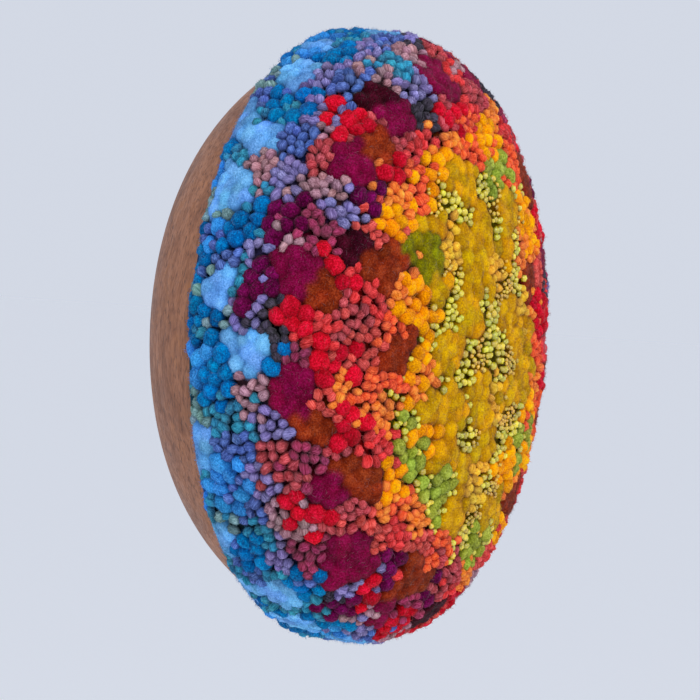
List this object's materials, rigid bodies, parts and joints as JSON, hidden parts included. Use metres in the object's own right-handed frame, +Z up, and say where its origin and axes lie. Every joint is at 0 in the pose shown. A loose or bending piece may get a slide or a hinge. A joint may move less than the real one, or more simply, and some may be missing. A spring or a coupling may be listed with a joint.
{
  "type": "punch needle wall piece in an oval wooden bowl",
  "caption": "Oval wooden bowl hung by its flat back, with a filled dome of punched wool pile crowning out of its mouth.",
  "frame": {"origin": "centre of the bowl's flat back, on the wall", "axes": "+Y into the wall, +Z up, the pile faces -Y"},
  "size_m": [0.1839, 0.1181, 0.2397],
  "materials": {
    "bowl_wood": "oiled, satin",
    "wool_pile": "wool loops and sheared pile in many colours"
  },
  "bodies": {
    "root": {"wooden_bowl": "bowl_wood", "punched_dome": "wool_pile"}
  },
  "joints": []
}
